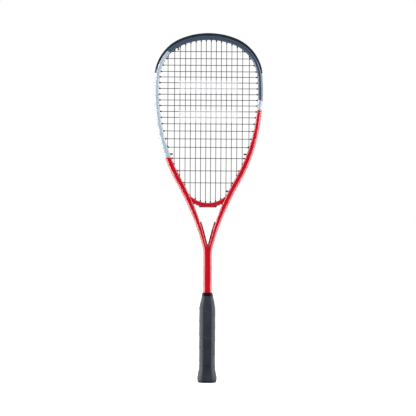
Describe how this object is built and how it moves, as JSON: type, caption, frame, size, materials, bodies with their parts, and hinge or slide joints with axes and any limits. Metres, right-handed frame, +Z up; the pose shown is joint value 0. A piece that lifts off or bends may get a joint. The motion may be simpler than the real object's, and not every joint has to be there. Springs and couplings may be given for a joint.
{
  "type": "squash racket",
  "caption": "Open-throat squash racket with a rounded teardrop hoop, woven string bed, head guard, slim shaft and wrapped eight-sided grip.",
  "frame": {"origin": "centre of the flat end face of the butt cap", "axes": "+Z up the shaft to the head, +X across the width of the head, +Y through the depth, square to the string bed"},
  "size_m": [0.2138, 0.0332, 0.686],
  "materials": {
    "frame_paint": "glossy lacquer over carbon composite, in navy, silver and red",
    "yoke_paint": "dark red glossy lacquer",
    "foam": "rigid foam",
    "guard_nylon": "moulded nylon, satin navy black",
    "grommet_nylon": "moulded nylon, satin black",
    "string": "coated synthetic gut, black",
    "pallet_foam": "moulded hard polyurethane foam",
    "cap_plastic": "moulded plastic, black",
    "steel": "bright wire",
    "grip_pu": "perforated cushioned polyurethane tape, charcoal",
    "finishing_tape": "glossy black vinyl tape"
  },
  "bodies": {
    "root": {"frame_tube": "frame_paint", "throat_bridge": "frame_paint", "throat_yoke": "yoke_paint", "bridge_foam_core": "foam", "shaft_end_plugs": "foam", "bumper_guard": "guard_nylon", "side_grommet_strip_left": "grommet_nylon", "side_grommet_strip_right": "grommet_nylon", "bridge_grommet_strip": "grommet_nylon", "main_string": "string", "cross_string": "string", "pallet_half_front": "pallet_foam", "pallet_half_back": "pallet_foam", "butt_cap": "cap_plastic", "butt_cap_staples": "steel", "grip_tack": "steel", "grip_wrap": "grip_pu", "finishing_tape": "finishing_tape"}
  },
  "joints": []
}
